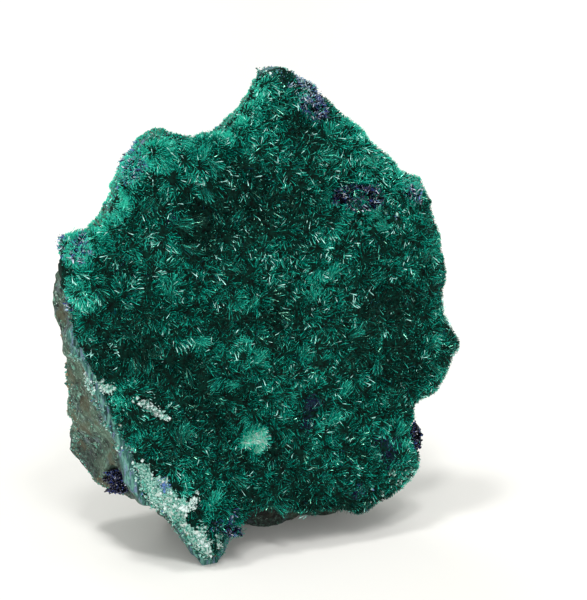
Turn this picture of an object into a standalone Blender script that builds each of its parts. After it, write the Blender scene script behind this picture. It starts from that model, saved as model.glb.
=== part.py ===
"""A brochantite specimen: a druse of green needles on a wedge of rock, with small clusters of azurite.

The specimen stands on its lower tip and on the heel of the rock behind it. Its crystal face looks towards -Y
and leans back. A place on it is given as (x, depth, height): depth runs back from the leaning plane on which
the crust and the rock meet, and height is measured from the surface that the specimen stands on.
"""

import math
import random

import bmesh
import bpy
from mathutils import Matrix, Vector, noise
from mathutils.geometry import delaunay_2d_cdt

MM = 0.001

# The whole specimen, in millimetres, and its colours
LEAN = math.radians(8)
GAP = 0.3
SEED = 11
GREEN = (0.004, 0.160, 0.105)
ROCK_GREY = (0.095, 0.115, 0.085)
BLUE = (0.012, 0.020, 0.130)

# Outline of the crystal face as (x, height), clockwise from the lower tip, seen from the front
FACE_OUTLINE = [
    (-12.5, 0.2), (-14.5, 1.5), (-17.5, 7.0), (-20.0, 9.5), (-22.0, 11.0), (-23.0, 16.0), (-25.0, 21.5),
    (-27.0, 26.5), (-29.0, 32.0), (-30.2, 36.0), (-31.0, 41.0), (-31.5, 47.0), (-30.6, 50.8), (-26.5, 51.4),
    (-24.5, 52.0), (-23.0, 56.0), (-22.0, 59.0), (-19.5, 61.5), (-17.0, 63.0), (-13.0, 63.2), (-10.5, 62.2),
    (-7.0, 62.4), (-5.0, 64.0), (-2.0, 67.0), (0.0, 70.4), (4.0, 70.4), (7.0, 68.4), (9.5, 66.3),
    (11.5, 64.0), (15.0, 61.5), (18.5, 57.5), (20.5, 56.3), (22.8, 53.2), (25.2, 53.1), (26.3, 50.0),
    (27.5, 46.0), (28.5, 41.5), (29.2, 37.8), (28.4, 35.5), (28.5, 32.0), (29.5, 29.0), (31.5, 26.5),
    (29.5, 24.5), (28.0, 21.5), (25.5, 19.0), (22.2, 18.6), (23.0, 15.5), (22.5, 12.0), (22.6, 8.0),
    (19.5, 5.5), (16.0, 4.6), (12.5, 2.7), (9.8, 3.8), (6.5, 4.6), (2.0, 5.2), (-2.0, 6.6), (-5.5, 6.6),
    (-8.0, 4.4), (-10.0, 2.4), (-11.0, 0.8),
]

# The crust of needles
CRUST_BASE = 2.2            # from the rock to the feet of the spikes
CRUST_RIM = 0.9
EDGE_WIDTH = 3.2            # over which the crust thickens from its rim
RIM_INSET = 0.75            # from the outline, which the spikes of the rim reach
RIM_STEP = 1.7
NET_STEP = 2.1              # between the corners of the net of triangles that the spikes stand on
NET_SHAKE = 0.22
NET_MARGIN = 1.15           # between the rim and the nearest other corners of the net
TUFT_PITCH = 4.0
TUFT_SHAKE = 0.28
TUFT_MARGIN = 0.5
TUFT_RISE = 0.7
SPIKE_LENGTH = (1.1, 1.8)   # in the middle of a tuft
SPIKE_SHORTER = 0.5         # at the edge of a tuft
SPIKE_LEAN = 0.45           # how far a spike's tip stands away from its tuft's middle

# Mounds, and pits with a negative rise, on the crust: x, height, radius, rise
RELIEF = [
    (-10, 52, 4.5, -1.6), (-14.5, 51.5, 2.5, 1.1), (-2, 65.5, 3, 1.2), (1.7, 64, 2.2, -1.1), (8, 61, 4, 0.8),
    (-21, 44, 4, -1.3), (-17, 42.5, 3, 1.4), (-28, 42, 3.5, 1.0), (-19, 32, 4.5, -1.4), (-13, 27, 4.5, -1.4),
    (-6, 28.5, 3.5, 1.2), (-3, 40.5, 4.5, 1.3), (2.5, 44, 3.5, -1.2), (20.5, 42, 5.5, 1.8), (16.5, 47, 3, 0.8),
    (20.5, 29, 5, -1.3), (9, 33, 4, 0.8), (-1, 24.5, 3.5, 1.1), (5, 20, 4, -1.4), (19, 13.5, 4, 1.2),
    (-16, 21.5, 3, 0.9), (-5, 13, 4, -1.2), (10, 10, 4, 0.9), (-22, 57, 3, 0.8), (28, 27, 3, 0.7),
]

# The rock: a plate behind the crust, and the corners of the blunt lumps behind it as x, depth, height
ROCK_FRONT = 0.15           # the flat face that carries the crust
ROCK_INSET = 1.2            # behind the outline of the crystal face
PLATE = ((-3.0, 0.0), (2.5, 0.2), (4.5, 1.6))    # depth, and how much narrower the plate is there
FLANK = [
    (-30.3, -3, 47.0), (-30.4, -3, 41.0), (-29.8, -3, 36.0), (-27.4, -3, 27.0), (-24.3, -3, 17.0),
    (-21.6, -3, 11.4), (-29.0, 2.5, 49.0), (-29.6, 5, 42.0), (-29.5, 6.5, 39.0), (-28.8, 8.5, 31.5),
    (-27.5, 11.5, 24.0), (-27.0, 15, 17.5), (-26.0, 17.5, 13.0), (-24.0, 14.5, 9.6), (-22.6, 8, 9.6),
    (-10.0, 15, 33.0), (-8.0, 19, 12.0), (-12.0, 4, 7.0), (-8.0, 6, 47.0),
]
BODY = [
    (-22, 1, 51), (-14, 1, 59), (12, 1, 58), (21, 1, 49), (25.5, 1, 40), (26, 1, 28), (19, 1, 9),
    (-4, 1, 9), (-14, 7.5, 54), (2, 7, 61), (13, 8.5, 50), (20, 8, 40), (21, 10, 27), (16, 15.5, 13),
    (-6, 18.5, 14), (-14, 14, 30), (-12, 10, 45), (4, 13, 36),
]
HEEL = [
    (-11, 13, -3), (1, 11, -3), (15, 12.5, -3), (17, 18, -3), (5, 22, -3), (-8, 21.5, -3),
    (-15, 8, 9.5), (-2, 3, 9.5), (14, 3, 8), (20, 9, 9), (18, 15.5, 15), (8, 19, 13), (-9, 20, 13),
    (-19, 16, 11), (10, 14.5, 27), (-6, 16, 25),
]
TONGUE = [
    (-19.6, -3, 10.5), (-15.8, -3, 4.5), (-12.4, -3, -2), (-9.8, -3, 3.6), (-5.0, -3, 8.5),
    (-12.4, 2.6, -2), (-18, 9, 10), (-8, 9, 9.5), (-11, 6.5, 5),
]
ROCK_GRAIN = 0.75           # the rock's smallest lumps
ROCK_SWELLS = ((8.0, 1.3), (3.0, 0.6))      # wavelength and height of its unevenness
ROCK_TRIANGLES = 2600
NOISE_SHIFTS = (Vector((0, 0, 0)), Vector((17, 5, 9)), Vector((3, 29, 13)))

# Azurite clusters: x, depth and height of the middle, half width, half thickness and half height, the
# clockwise turn in degrees seen from the front, and the turn of the whole cluster about the vertical
AZURITE = {
    "azurite_top": (7.6, -2.2, 64.6, 2.3, 1.1, 1.6, 40, 0),
    "azurite_centre": (13.7, -2.7, 51.3, 4.3, 1.1, 1.7, 8, 0),
    "azurite_corner": (23.0, -1.8, 50.6, 1.6, 1.1, 1.3, 50, 0),
    "azurite_shoulder": (-20.0, -1.8, 58.6, 1.2, 1.1, 2.2, 35, 0),
    "azurite_left_corner": (-28.7, -1.5, 48.4, 1.1, 1.0, 2.4, 15, 0),
    "azurite_right_edge": (21.4, -1.8, 14.2, 1.1, 1.2, 2.4, 0, 0),
    "azurite_tip": (-9.2, -1.7, 5.4, 1.8, 1.0, 0.9, 20, 0),
    "azurite_flank": (-23.6, 4.2, 12.9, 2.5, 1.1, 1.9, 0, -80),
}
BLADE_PITCH = 1.1
BLADE_SHAKE = 0.2               # of the pitch
BLADE_FIELD = 0.9               # how much of its cluster's width and height the blades fill
BLADE_FOOT = 0.8                # how much nearer to the middle the blades' feet stand together
BLADE_HALVES = (0.55, 0.26)     # at a blade's foot
BLADE_REACH = (0.5, 1.2)        # of a blade beyond its cluster's body
BLADE_EDGE = 0.3                # how much of its width a blade keeps at its tip
BLADE_SPREAD = 22               # how far in degrees the outer blades lean
BALL_RADIUS = 1.12              # of a ball of few faces, for its size to count at the faces too
POCKET_ROOM = 0.5               # between a cluster's body and its pocket, which clears the blades too
POCKET_DEPTH = 2.8              # how many times deeper a pocket is towards its mouth


def place(x, depth, height):
    """The point in metres at a place on the leaning specimen."""
    return Vector((x, depth + height * math.tan(LEAN), height)) * MM


def inset(outline, amount):
    """The clockwise outline moved inwards by an amount at each corner."""
    moved = []
    for index, (x, z) in enumerate(outline):
        before = Vector(outline[index - 1])
        after = Vector(outline[(index + 1) % len(outline)])
        along = (after - before).normalized()
        moved.append((x + along.y * amount, z - along.x * amount))
    return moved


def sides(outline):
    """The start and the end of each side of the closed outline."""
    corners = [Vector(corner) for corner in outline]
    return list(zip(corners, corners[1:] + corners[:1]))


def resampled(outline, step):
    """Points about one step apart along the outline."""
    points = []
    for start, end in sides(outline):
        pieces = max(1, round((end - start).length / step))
        points += [tuple(start.lerp(end, index / pieces)) for index in range(pieces)]
    return points


def distance_to(outline, point):
    """How far a point is from the outline."""
    nearest = math.inf
    for start, end in sides(outline):
        along = end - start
        share = max(0.0, min(1.0, (point - start).dot(along) / along.length_squared))
        nearest = min(nearest, (point - start - along * share).length)
    return nearest


def is_inside(outline, point):
    """Whether a point lies within the outline."""
    inside = False
    for start, end in sides(outline):
        if (start.y > point.y) != (end.y > point.y):
            share = (point.y - start.y) / (end.y - start.y)
            if point.x < start.x + share * (end.x - start.x):
                inside = not inside
    return inside


def scattered(outline, step, shake, margin, rng):
    """Shaken points of a triangular grid that lie inside the outline, clear of its edge."""
    points = []
    left = min(x for x, z in outline)
    right = max(x for x, z in outline)
    top = max(z for x, z in outline)
    rise = step * math.sqrt(3) / 2
    for row in range(int(top / rise) + 1):
        for column in range(int((right - left) / step) + 1):
            x = left + (column + row % 2 / 2 + rng.uniform(-shake, shake)) * step
            z = (row + rng.uniform(-shake, shake)) * rise
            point = Vector((x, z))
            if is_inside(outline, point) and distance_to(outline, point) > margin:
                points.append(point)
    return points


def from_tuft(tufts, point):
    """The vector from the middle of the nearest tuft to a point of the face."""
    return min((point - tuft for tuft in tufts), key=lambda away: away.length_squared)


def crust_height(point, tufts, rim):
    """How far the crust stands out from the rock at a point of the face."""
    height = CRUST_BASE
    for x, z, radius, rise in RELIEF:
        height += rise * math.exp(-(point - Vector((x, z))).length_squared / radius ** 2)
    away = from_tuft(tufts, point).length / (TUFT_PITCH / 2)
    height += TUFT_RISE * (1 - min(1.0, away * away))
    share = min(1.0, distance_to(rim, point) / EDGE_WIDTH)
    rounded = math.sqrt(1 - (1 - share) ** 2)
    return CRUST_RIM + (height - CRUST_RIM) * rounded


def new_object(name, shape, material):
    """An object of a finished bmesh, with its material."""
    mesh = bpy.data.meshes.new(name)
    shape.to_mesh(mesh)
    shape.free()
    mesh.materials.append(material)
    thing = bpy.data.objects.new(name, mesh)
    bpy.context.scene.collection.objects.link(thing)
    return thing


def finish(name, colour, roughness):
    """A plain material in a piece's own colour."""
    material = bpy.data.materials.new(name)
    material.use_nodes = True
    shader = material.node_tree.nodes["Principled BSDF"]
    shader.inputs["Base Color"].default_value = (*colour, 1.0)
    shader.inputs["Roughness"].default_value = roughness
    shader.inputs["Metallic"].default_value = 0.0
    return material


def raise_spike(shape, face, offset):
    """Turns a face into a flat-sided spike, with its tip at an offset in millimetres from the face's middle."""
    poked = bmesh.ops.poke(shape, faces=[face])
    poked["verts"][0].co += offset * MM


def crust_blank(tufts, rim, rng):
    """The crust without its spikes: a net of triangles in front, a flat back and a low wall."""
    points = [Vector(point) for point in rim]
    points += scattered(rim, NET_STEP, NET_SHAKE, NET_MARGIN, rng)
    loop = list(range(len(rim)))
    net, _, triangles, *_ = delaunay_2d_cdt(points, [], [loop], 1, 1e-6)
    shape = bmesh.new()
    front = [shape.verts.new(place(p.x, -crust_height(p, tufts, rim), p.y)) for p in net]
    back = [shape.verts.new(place(net[index].x, -GAP / 2, net[index].y)) for index in loop]
    for triangle in triangles:
        shape.faces.new([front[index] for index in triangle])
    shape.faces.new(back)
    for index in loop:
        after = (index + 1) % len(rim)
        shape.faces.new((front[index], front[after], back[after], back[index]))
    bmesh.ops.recalc_face_normals(shape, faces=shape.faces)
    return shape


def brochantite_crust(material):
    """The druse of needles: one crust, with a leaning spike on every face of its net."""
    rng = random.Random(SEED)
    rim = resampled(inset(FACE_OUTLINE, RIM_INSET), RIM_STEP)
    tufts = scattered(FACE_OUTLINE, TUFT_PITCH, TUFT_SHAKE, TUFT_MARGIN, rng)
    shape = crust_blank(tufts, rim, rng)
    for face in list(shape.faces):
        middle = face.calc_center_median() / MM
        away = from_tuft(tufts, Vector((middle.x, middle.z))) / TUFT_PITCH
        if len(face.verts) == 3:
            length = rng.uniform(*SPIKE_LENGTH) * (1 - SPIKE_SHORTER * min(1.0, 2 * away.length))
            raise_spike(shape, face, face.normal * length + Vector((away.x, 0, away.y)) * SPIKE_LEAN)
        elif len(face.verts) == 4:
            raise_spike(shape, face, face.normal * RIM_INSET * rng.uniform(0.5, 1.0))
    return new_object("brochantite_crust", shape, material)


def add_lump(shape, corners):
    """Adds a blunt lump of rock: the hull of its corners."""
    verts = [shape.verts.new(place(*corner)) for corner in corners]
    hull = bmesh.ops.convex_hull(shape, input=verts)
    unused = [vert for vert in hull["geom_interior"] if isinstance(vert, bmesh.types.BMVert)]
    bmesh.ops.delete(shape, geom=unused, context="VERTS")


def add_plate(shape):
    """Adds the plate of rock right behind the crust, in the outline of the crystal face."""
    rings = []
    for depth, narrower in PLATE:
        outline = inset(FACE_OUTLINE, ROCK_INSET + narrower)
        rings.append([shape.verts.new(place(x, depth, z)) for x, z in outline])
    for ring, behind in zip(rings, rings[1:]):
        for index in range(len(ring)):
            before = index - 1
            shape.faces.new((ring[before], ring[index], behind[index], behind[before]))
    shape.faces.new(rings[0])
    shape.faces.new(reversed(rings[-1]))


def remade(thing, kind, **settings):
    """The object's mesh after one modifier, as a bmesh; the object itself is used up."""
    modifier = thing.modifiers.new(kind.title(), kind)
    for name, value in settings.items():
        setattr(modifier, name, value)
    seen = thing.evaluated_get(bpy.context.evaluated_depsgraph_get())
    shape = bmesh.new()
    shape.from_mesh(seen.to_mesh())
    seen.to_mesh_clear()
    bpy.data.objects.remove(thing)
    return shape


def roughen(shape):
    """Warps the rock's surface in broad and in small swells."""
    for wavelength, height in ROCK_SWELLS:
        for vert in shape.verts:
            spot = vert.co / (wavelength * MM)
            warp = Vector([noise.noise(spot + shift) for shift in NOISE_SHIFTS])
            vert.co += warp * height * MM


def cut_flat(shape, point, normal):
    """Cuts away what lies on the normal's side of a plane, and closes the cut with flat faces."""
    geometry = shape.verts[:] + shape.edges[:] + shape.faces[:]
    bmesh.ops.bisect_plane(shape, geom=geometry, plane_co=point, plane_no=normal, clear_outer=True)
    open_edges = [edge for edge in shape.edges if edge.is_boundary]
    bmesh.ops.holes_fill(shape, edges=open_edges, sides=0)


def host_rock(material):
    """The host rock: blunt lumps grown together, rough all over, flat behind the crust and under the foot."""
    shape = bmesh.new()
    for corners in (FLANK, BODY, HEEL, TONGUE):
        add_lump(shape, corners)
    add_plate(shape)
    bmesh.ops.recalc_face_normals(shape, faces=shape.faces)
    shape = remade(new_object("lumps", shape, material), "REMESH", mode="VOXEL", voxel_size=ROCK_GRAIN * MM)
    roughen(shape)
    share = ROCK_TRIANGLES / (2 * len(shape.faces))
    shape = remade(new_object("coarse", shape, material), "DECIMATE", ratio=share, use_collapse_triangulate=True)
    cut_flat(shape, place(0, ROCK_FRONT, 0), Vector((0, -1, math.tan(LEAN))))
    cut_flat(shape, Vector(), Vector((0, 0, -1)))
    return new_object("matrix", shape, material)


def stretched_ball(halves):
    """A ball of triangles stretched to its half width, half thickness and half height."""
    shape = bmesh.new()
    bmesh.ops.create_icosphere(shape, subdivisions=1, radius=BALL_RADIUS)
    bmesh.ops.scale(shape, vec=Vector(halves) * MM, verts=shape.verts)
    shape.normal_update()
    return shape


def settle(shape, middle, turns):
    """Turns a shape and moves it to its place on the specimen."""
    clockwise, around = (math.radians(turn) for turn in turns)
    turned = Matrix.Rotation(around, 4, "Z") @ Matrix.Rotation(clockwise, 4, "Y")
    bmesh.ops.transform(shape, matrix=Matrix.Translation(place(*middle)) @ turned, verts=shape.verts)


def add_blade(shape, foot, length, lean, turn):
    """Adds a flat blade with a chisel edge, which stands on its foot towards -Y and leans by two angles."""
    half_width, half_thickness = BLADE_HALVES
    blade = bmesh.ops.create_cube(shape, size=2 * MM)["verts"]
    for vert in blade:
        at_tip = vert.co.y < 0
        vert.co.x *= half_width * (BLADE_EDGE if at_tip else 1)
        vert.co.z *= half_thickness * (BLADE_EDGE if at_tip else 1)
        vert.co.y = -length * MM if at_tip else 0
    turned = Matrix.Rotation(lean.x, 4, "Z") @ Matrix.Rotation(-lean.y, 4, "X") @ Matrix.Rotation(turn, 4, "Y")
    bmesh.ops.transform(shape, matrix=Matrix.Translation(foot * MM) @ turned, verts=blade)


def azurite_cluster(name, middle, halves, turns, material, rng):
    """A cluster of azurite: blades that fan out of a low body that they grew together from."""
    body = stretched_ball(halves)
    settle(body, middle, turns)
    cluster = new_object(name, body, material)
    blades = bmesh.new()
    columns = int(halves[0] / BLADE_PITCH)
    rows = int(halves[2] / BLADE_PITCH)
    for column in range(-columns, columns + 1):
        for row in range(-rows, rows + 1):
            across = (column + rng.uniform(-BLADE_SHAKE, BLADE_SHAKE)) * BLADE_PITCH / halves[0]
            upward = (row + rng.uniform(-BLADE_SHAKE, BLADE_SHAKE)) * BLADE_PITCH / halves[2]
            if math.hypot(across, upward) < BLADE_FIELD:
                foot = Vector((across * halves[0], 0, upward * halves[2])) * BLADE_FOOT
                length = halves[1] * math.sqrt(1 - across ** 2 - upward ** 2) + rng.uniform(*BLADE_REACH)
                lean = Vector((across, upward)) * math.radians(BLADE_SPREAD)
                add_blade(blades, foot, length, lean, rng.uniform(0, math.pi))
    settle(blades, middle, turns)
    join(cluster, new_object("blades_of_" + name, blades, material), "UNION")
    return cluster


def join(host, other, operation):
    """Adds a guide object to the host, or takes it away, and keeps the guide out of sight."""
    other.hide_render = True
    other.display_type = "WIRE"
    modifier = host.modifiers.new(other.name, "BOOLEAN")
    modifier.operation = operation
    modifier.use_self = True
    modifier.object = other


def cut_pocket(host, name, middle, halves, turns, material):
    """Hollows the crust or the rock where a cluster grows, with a gap round the cluster."""
    shape = stretched_ball([half + POCKET_ROOM for half in halves])
    for vert in shape.verts:
        if vert.co.y < 0:
            vert.co.y *= POCKET_DEPTH
    settle(shape, middle, turns)
    join(host, new_object("pocket_of_" + name, shape, material), "DIFFERENCE")


def stand_on_origin(pieces):
    """Moves everything so that the middle of the specimen's box stands on the origin."""
    graph = bpy.context.evaluated_depsgraph_get()
    corners = [Vector(corner) for piece in pieces for corner in piece.evaluated_get(graph).bound_box]
    low = Vector([min(corner[axis] for corner in corners) for axis in range(3)])
    high = Vector([max(corner[axis] for corner in corners) for axis in range(3)])
    middle = (low + high) / 2
    for thing in bpy.context.scene.objects:
        thing.location = -Vector((middle.x, middle.y, low.z))
    print("box in millimetres", [round(size, 2) for size in (high - low) / MM], "moved by",
          [round(size, 2) for size in -Vector((middle.x, middle.y, low.z)) / MM])


def main():
    for thing in list(bpy.data.objects):
        bpy.data.objects.remove(thing)
    crust = brochantite_crust(finish("Brochantite", GREEN, 0.3))
    rock = host_rock(finish("Copper-stained rock", ROCK_GREY, 0.85))
    blue = finish("Azurite", BLUE, 0.25)
    rng = random.Random(SEED)
    pieces = [crust, rock]
    for name, (x, depth, height, width, thickness, tallness, clockwise, around) in AZURITE.items():
        seat = (x, depth, height), (width, thickness, tallness), (clockwise, around)
        pieces.append(azurite_cluster(name, *seat, blue, rng))
        cut_pocket(rock if depth > 0 else crust, name, *seat, blue)
    stand_on_origin(pieces)


main()
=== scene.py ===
# %% [markdown]
# # Dressing a specimen of brochantite
# Brochantite is a copper sulphate that grows as thin green needles on weathered copper ore. The CAD
# model gives the specimen's form: a wedge of rock, a green crust over its leaning face, and small
# clusters of azurite. This lesson adds what a casting of those forms can't have: tens of thousands
# of glassy needles, the grain of the rock, the blue blades and the white crumbs between them.

import bpy
import numpy as np
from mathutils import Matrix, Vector, noise
from mathutils.kdtree import KDTree


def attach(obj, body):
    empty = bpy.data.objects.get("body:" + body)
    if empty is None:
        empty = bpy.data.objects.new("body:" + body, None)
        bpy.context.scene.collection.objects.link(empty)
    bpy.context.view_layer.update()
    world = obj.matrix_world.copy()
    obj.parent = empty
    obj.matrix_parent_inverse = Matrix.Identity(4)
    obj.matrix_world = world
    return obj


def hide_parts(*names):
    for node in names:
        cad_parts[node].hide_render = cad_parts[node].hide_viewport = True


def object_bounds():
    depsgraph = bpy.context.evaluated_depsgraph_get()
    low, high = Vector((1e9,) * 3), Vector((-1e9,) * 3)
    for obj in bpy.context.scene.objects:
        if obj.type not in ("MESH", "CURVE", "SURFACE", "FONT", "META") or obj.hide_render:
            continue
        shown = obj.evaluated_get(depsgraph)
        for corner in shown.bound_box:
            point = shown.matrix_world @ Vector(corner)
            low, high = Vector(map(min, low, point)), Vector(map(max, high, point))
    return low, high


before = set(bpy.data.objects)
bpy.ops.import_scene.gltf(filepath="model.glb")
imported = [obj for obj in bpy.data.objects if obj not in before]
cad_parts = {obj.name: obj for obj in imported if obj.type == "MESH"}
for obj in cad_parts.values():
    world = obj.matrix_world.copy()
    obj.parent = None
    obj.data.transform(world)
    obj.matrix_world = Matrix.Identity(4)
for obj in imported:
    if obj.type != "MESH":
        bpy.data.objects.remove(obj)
cad_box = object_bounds()
MM = 0.001
print("CAD box in mm:", [[round(v / MM, 2) for v in corner] for corner in cad_box])

# %% [markdown]
# The crust's face is a plane that leans back by eight degrees. Most pieces are placed on it, so it
# helps to say how deep a point lies behind that plane: below nought is in the crust, above is rock.

# %% Depth behind the face
FACE_LEAN = np.radians(8)
FACE_FOOT = -9.69 * MM
FACE_OUT = np.array([0, -np.cos(FACE_LEAN), np.sin(FACE_LEAN)])


def depth(points):
    """How far each point lies behind the leaning face, in metres."""
    return (points[:, 1] - FACE_FOOT - points[:, 2] * np.tan(FACE_LEAN)) * np.cos(FACE_LEAN)


print("the face leans back", round(float(np.degrees(FACE_LEAN))), "degrees")

# %% [markdown]
# A collector photographs such a piece with a long lens, from a little above and from its left. A
# long lens keeps the outline true, so the camera stands about 30 cm away with a 120 mm lens.

# %% Camera
CAMERA_AT = np.array([-112.66, -254.66, 126.46]) * MM
CAMERA_TO = np.array([3.90, -4.69, 36.85]) * MM
LENS_MM = 120


def put_camera():
    """The scene's camera at the photograph's angle."""
    lens = bpy.data.cameras.new("camera")
    lens.lens = LENS_MM
    lens.clip_start = 0.01
    camera = bpy.data.objects.new("camera", lens)
    camera.location = CAMERA_AT
    camera.rotation_euler = Vector(CAMERA_TO - CAMERA_AT).to_track_quat("-Z", "Y").to_euler()
    bpy.context.scene.collection.objects.link(camera)
    bpy.context.scene.camera = camera
    return camera


print("camera distance in mm:", round(float(np.linalg.norm(CAMERA_TO - CAMERA_AT)) / MM), put_camera().name)

# %% [markdown]
# Colours are given as sRGB hex values, but light adds up in linear values. One
# function turns the first into the second. Another adds a shader node with its settings and links,
# and one ends a material's nodes with a shader and the output. A crystal that is only a pixel or two
# wide needs no pattern, so the last one makes even materials.

# %% Colour and node helpers


def linear(colour, alpha=1.0):
    """The linear colour of an sRGB hex value."""
    parts = [int(colour[i:i + 2], 16) / 255 for i in (1, 3, 5)]
    return [p / 12.92 if p <= 0.04045 else ((p + 0.055) / 1.055) ** 2.4 for p in parts] + [alpha]


def add(tree, kind, sockets=(), **settings):
    """Adds a node to tree. Each socket takes a value, or another node's output to link from."""
    node = tree.nodes.new(kind)
    for name, value in settings.items():
        setattr(node, name, value)
    for name, value in dict(sockets).items():
        if isinstance(value, bpy.types.NodeSocket):
            tree.links.new(value, node.inputs[name])
        else:
            node.inputs[name].default_value = value
    return node


def new_material(name):
    """A material with an empty node tree."""
    made = bpy.data.materials.new(name)
    made.use_nodes = True
    made.node_tree.nodes.clear()
    return made


def give_surface(made, sockets, shader="ShaderNodeBsdfPrincipled"):
    """Ends the material's nodes with a shader that has these sockets, and with the output."""
    surface = add(made.node_tree, shader, sockets)
    add(made.node_tree, "ShaderNodeOutputMaterial", {"Surface": surface.outputs["BSDF"]})
    return made


def even_material(name, colour, sockets):
    """A material that is the same all over, with these other sockets set."""
    return give_surface(new_material(name), {"Base Color": linear(colour)} | sockets)


print("mid green in linear values:", [round(v, 3) for v in linear("#006B4F")])

# %% [markdown]
# The floor is a sheet of white board, lit so strongly that it burns out to pure white where no
# shadow falls. Three lamps high above, two in front and one at the left, throw the soft short
# shadows. One low in front, next to the camera, makes needles flash and hardly lights the floor. A
# pale sky fills the shadows in a little, and a box far behind keeps the floor white there.

# %% Floor and light
FLOOR_SIDE = 8.0
SKY_STRENGTH = 0.58
LAMPS_AIM = Vector((0, 0, 0.03))
SOFT_BOXES = (
    ("left_lamp", (-0.42, -0.07, 1.40), 0.20, 5.1),
    ("front_lamp", (-0.31, -0.67, 1.40), 0.20, 4.1),
    ("far_lamp", (-0.14, -0.98, 1.40), 0.20, 3.1),
    ("flash_lamp", (-0.95, -2.00, 0.15), 0.25, 14.0),
    ("back_box", (0.00, 1.50, 1.50), 1.00, 14.5),
)


def white_board():
    """Matt white card: it scatters light and has no gloss."""
    sockets = {"Color": linear("#F5F4F0"), "Roughness": 1.0}
    return give_surface(new_material("white_board"), sockets, "ShaderNodeBsdfDiffuse")


def lay_floor():
    """A wide square floor at height nought."""
    half = FLOOR_SIDE / 2
    mesh = bpy.data.meshes.new("floor")
    mesh.from_pydata([(-half, -half, 0), (half, -half, 0), (half, half, 0), (-half, half, 0)], [], [(0, 1, 2, 3)])
    mesh.materials.append(white_board())
    floor = bpy.data.objects.new("floor", mesh)
    bpy.context.scene.collection.objects.link(floor)


def put_soft_box(name, place, side, power):
    """A square area light that looks at the specimen."""
    lamp = bpy.data.lights.new(name, "AREA")
    lamp.size = side
    lamp.energy = power
    box = bpy.data.objects.new(name, lamp)
    box.location = place
    box.rotation_euler = (LAMPS_AIM - Vector(place)).to_track_quat("-Z", "Y").to_euler()
    bpy.context.scene.collection.objects.link(box)


def fill_sky():
    """An even white sky."""
    world = bpy.data.worlds.new("sky")
    world.use_nodes = True
    sockets = world.node_tree.nodes["Background"].inputs
    sockets["Color"].default_value = linear("#FFFFFF")
    sockets["Strength"].default_value = SKY_STRENGTH
    bpy.context.scene.world = world


lay_floor()
fill_sky()
for soft_box in SOFT_BOXES:
    put_soft_box(*soft_box)
bpy.context.scene.view_settings.view_transform = "Standard"
print("soft boxes:", len(SOFT_BOXES))

# %% [markdown]
# The rock and the ground under the needles start from the CAD solids. A voxel remesh gives even
# small faces that can be pushed in and out. The new mesh is a piece of its own that stands for the
# CAD node, because the node itself may not change.

# %% From a CAD solid to fine mesh
SPARE = 0.05 * MM


def fine_copy(node, name, voxel, smoothing):
    """A new piece with the form of a CAD node in small even faces, smoothed that many times."""
    piece = bpy.data.objects.new(name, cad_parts[node].data.copy())
    piece.data.materials.clear()
    bpy.context.scene.collection.objects.link(piece)
    remesh = piece.modifiers.new("remesh", "REMESH")
    remesh.mode = "VOXEL"
    remesh.voxel_size = voxel
    smooth = piece.modifiers.new("smooth", "SMOOTH")
    smooth.iterations = smoothing
    shape = piece.evaluated_get(bpy.context.evaluated_depsgraph_get())
    piece.data = bpy.data.meshes.new_from_object(shape)
    piece.modifiers.clear()
    return piece


def read_mesh(mesh):
    """A mesh's points and their normals, as arrays."""
    points = np.empty(len(mesh.vertices) * 3)
    normals = np.empty(len(mesh.vertices) * 3)
    mesh.vertices.foreach_get("co", points)
    mesh.vertices.foreach_get("normal", normals)
    return points.reshape(-1, 3), normals.reshape(-1, 3)


def inside_box(points):
    """The points, moved no further than needed to lie just inside the CAD box."""
    low, high = (np.array(corner) for corner in cad_box)
    return np.clip(points, low + [SPARE, SPARE, 0], high - SPARE)


def write_points(mesh, points):
    """Moves a mesh's points to new places inside the CAD box."""
    mesh.vertices.foreach_set("co", inside_box(points).ravel())
    mesh.update()


def wander(points, size, seed=0):
    """Smooth noise between about -1 and 1 at each point, with lumps of that size."""
    shift = Vector((seed * 7.3, seed * 3.1, seed * 5.7))
    return np.array([noise.noise(Vector(p) / size + shift) for p in points]) * 1.6


print("spare room inside the CAD box in mm:", SPARE / MM)

# %% [markdown]
# The rock was broken from a vein, so it has broad swells, knobs and a sandy grain. Three sizes of
# noise push the mesh in and out along its normals. Under the crust the push fades to nothing, so
# that the crust still lies on it. A few soft swells bring the outline closer to the real one.

# %% Rock shape
ROCK_VOXEL = 0.5 * MM
ROCK_BUMPS = ((5.0, 0.45), (1.9, 0.28), (0.9, 0.16))
SWELLS = (
    (4.5, 70.1, 2.5, 0.9), (8.7, 67, 2.5, 0.9), (12, 63.8, 2.5, 0.7), (15.5, 60.6, 2.5, 0.6),
    (24.5, 52, 2, 0.4), (19.1, 57.4, 2, 0.3), (-31.2, 47.2, 2.2, 0.8), (-30.8, 44, 2, 0.8),
    (-30.5, 35.5, 2, 0.7), (-28.5, 27, 4, -0.5), (-27, 17.5, 3, -0.8), (-20.5, 61.3, 3, -0.4),
    (-23.5, 56, 2, -0.3), (-25.5, 52.5, 2, -0.3), (-9.5, 63, 3, 0.3), (30, 28.5, 2, 0.6), (22, 10.5, 1.9, 0.9),
)


def off(points, x, height):
    """How far the points lie from a place of the face, in millimetres."""
    return np.hypot(points[:, 0] / MM - x, points[:, 2] / MM - height)


def blobs(points, places):
    """The sum of soft round blobs at places of the face, given as x, height, radius and amount."""
    total = np.zeros(len(points))
    for x, height, radius, amount in places:
        total += amount * np.exp(-(off(points, x, height) / radius) ** 2)
    return total


def swollen(points, normals):
    """The points moved outwards in the face's plane, or inwards, by blobs given in millimetres."""
    sideways = normals - (normals @ FACE_OUT)[:, None] * FACE_OUT
    return points + sideways * blobs(points, SWELLS)[:, None] * MM


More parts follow.
